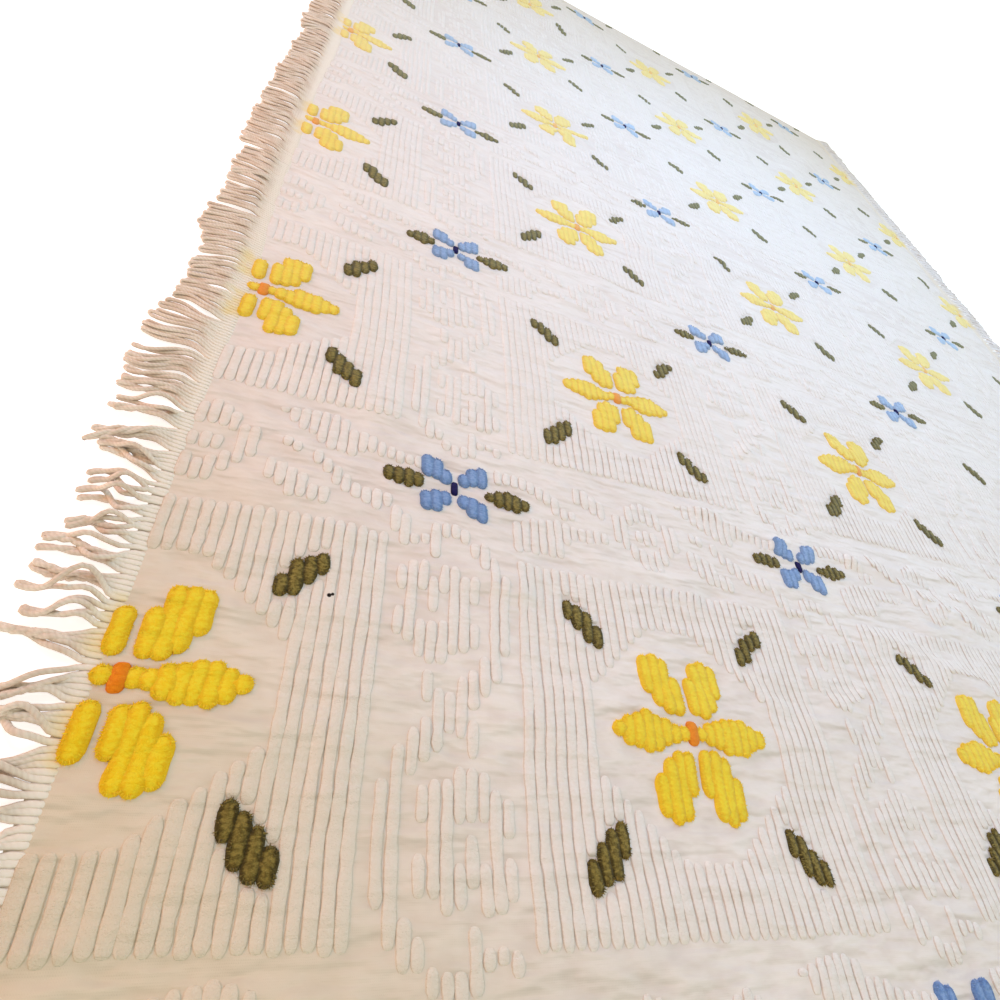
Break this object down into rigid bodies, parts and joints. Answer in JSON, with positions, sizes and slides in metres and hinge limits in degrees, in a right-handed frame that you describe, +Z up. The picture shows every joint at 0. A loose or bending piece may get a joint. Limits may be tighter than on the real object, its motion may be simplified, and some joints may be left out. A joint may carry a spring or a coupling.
{
  "type": "chenille bedspread",
  "caption": "Tufted cotton bedspread with flowers and leaves, lying open with soft folds, plain hems at the ends and corded fringe down both long sides.",
  "frame": {"origin": "on the flat underside, at the middle of the cloth", "axes": "+X across the spread towards the right fringe, +Y along it from the near hem to the far hem, +Z up through the pile"},
  "size_m": [1.9969, 2.8309, 0.0194],
  "materials": {
    "tufted_cotton": "matt cream-white tufted cotton",
    "fringe_cotton": "matt beige plied cotton cord"
  },
  "bodies": {
    "root": {"spread": "tufted_cotton", "fringe_left": "fringe_cotton", "fringe_right": "fringe_cotton"}
  },
  "joints": []
}
